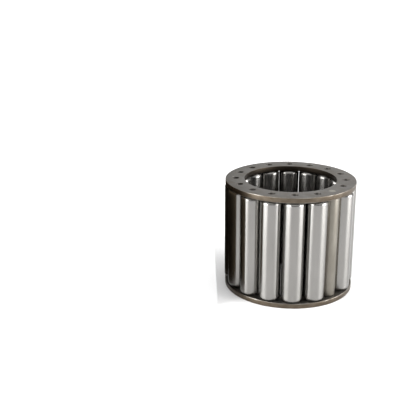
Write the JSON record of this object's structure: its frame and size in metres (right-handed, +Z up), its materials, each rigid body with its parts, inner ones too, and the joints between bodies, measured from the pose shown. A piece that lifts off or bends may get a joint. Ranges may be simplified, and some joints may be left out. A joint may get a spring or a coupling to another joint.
{
  "type": "journal roller bearing assembly",
  "caption": "Journal roller assembly: steel rollers on trunnions between two flat end rings joined by a tie bar, to run straight on a shaft and in a housing bore.",
  "frame": {"origin": "on the bearing's axis, at the underside of the lower end ring", "axes": "+Z up along the bearing's axis, about which shaft and rollers run; +X and +Y across it"},
  "size_m": [0.0563, 0.0563, 0.0483],
  "materials": {
    "ring_steel": "stamped steel, oiled, satin",
    "bar_steel": "drawn steel bar, oiled, satin",
    "roller_steel": "hardened, ground and polished"
  },
  "bodies": {
    "cage": {"lower_end_ring": "ring_steel", "upper_end_ring": "ring_steel", "tie_bar": "bar_steel"},
    "roller_01": {"roller_01": "roller_steel"},
    "roller_02": {"roller_02": "roller_steel"},
    "roller_03": {"roller_03": "roller_steel"},
    "roller_04": {"roller_04": "roller_steel"},
    "roller_05": {"roller_05": "roller_steel"},
    "roller_06": {"roller_06": "roller_steel"},
    "roller_07": {"roller_07": "roller_steel"},
    "roller_08": {"roller_08": "roller_steel"},
    "roller_09": {"roller_09": "roller_steel"},
    "roller_10": {"roller_10": "roller_steel"},
    "roller_11": {"roller_11": "roller_steel"},
    "roller_12": {"roller_12": "roller_steel"},
    "roller_13": {"roller_13": "roller_steel"},
    "roller_14": {"roller_14": "roller_steel"},
    "roller_15": {"roller_15": "roller_steel"}
  },
  "joints": [
    {"name": "roller_01_spin", "type": "hinge", "parent": "cage", "child": "roller_01", "pos_m": [0.02055, -0.0117, 0.02415], "axis": [0, 0, 1], "continuous": true},
    {"name": "roller_02_spin", "type": "hinge", "parent": "cage", "child": "roller_02", "pos_m": [0.02348, -0.0028, 0.02415], "axis": [0, 0, 1], "continuous": true},
    {"name": "roller_03_spin", "type": "hinge", "parent": "cage", "child": "roller_03", "pos_m": [0.02273, 0.00654, 0.02415], "axis": [0, 0, 1], "continuous": true},
    {"name": "roller_04_spin", "type": "hinge", "parent": "cage", "child": "roller_04", "pos_m": [0.01841, 0.01485, 0.02415], "axis": [0, 0, 1], "continuous": true},
    {"name": "roller_05_spin", "type": "hinge", "parent": "cage", "child": "roller_05", "pos_m": [0.01119, 0.02083, 0.02415], "axis": [0, 0, 1], "continuous": true},
    {"name": "roller_06_spin", "type": "hinge", "parent": "cage", "child": "roller_06", "pos_m": [0.00223, 0.02354, 0.02415], "axis": [0, 0, 1], "continuous": true},
    {"name": "roller_07_spin", "type": "hinge", "parent": "cage", "child": "roller_07", "pos_m": [-0.00709, 0.02256, 0.02415], "axis": [0, 0, 1], "continuous": true},
    {"name": "roller_08_spin", "type": "hinge", "parent": "cage", "child": "roller_08", "pos_m": [-0.0153, 0.01804, 0.02415], "axis": [0, 0, 1], "continuous": true},
    {"name": "roller_09_spin", "type": "hinge", "parent": "cage", "child": "roller_09", "pos_m": [-0.0211, 0.01068, 0.02415], "axis": [0, 0, 1], "continuous": true},
    {"name": "roller_10_spin", "type": "hinge", "parent": "cage", "child": "roller_10", "pos_m": [-0.02359, 0.00165, 0.02415], "axis": [0, 0, 1], "continuous": true},
    {"name": "roller_11_spin", "type": "hinge", "parent": "cage", "child": "roller_11", "pos_m": [-0.02238, -0.00764, 0.02415], "axis": [0, 0, 1], "continuous": true},
    {"name": "roller_12_spin", "type": "hinge", "parent": "cage", "child": "roller_12", "pos_m": [-0.01766, -0.01573, 0.02415], "axis": [0, 0, 1], "continuous": true},
    {"name": "roller_13_spin", "type": "hinge", "parent": "cage", "child": "roller_13", "pos_m": [-0.01016, -0.02135, 0.02415], "axis": [0, 0, 1], "continuous": true},
    {"name": "roller_14_spin", "type": "hinge", "parent": "cage", "child": "roller_14", "pos_m": [-0.00107, -0.02363, 0.02415], "axis": [0, 0, 1], "continuous": true},
    {"name": "roller_15_spin", "type": "hinge", "parent": "cage", "child": "roller_15", "pos_m": [0.00819, -0.02219, 0.02415], "axis": [0, 0, 1], "continuous": true}
  ]
}
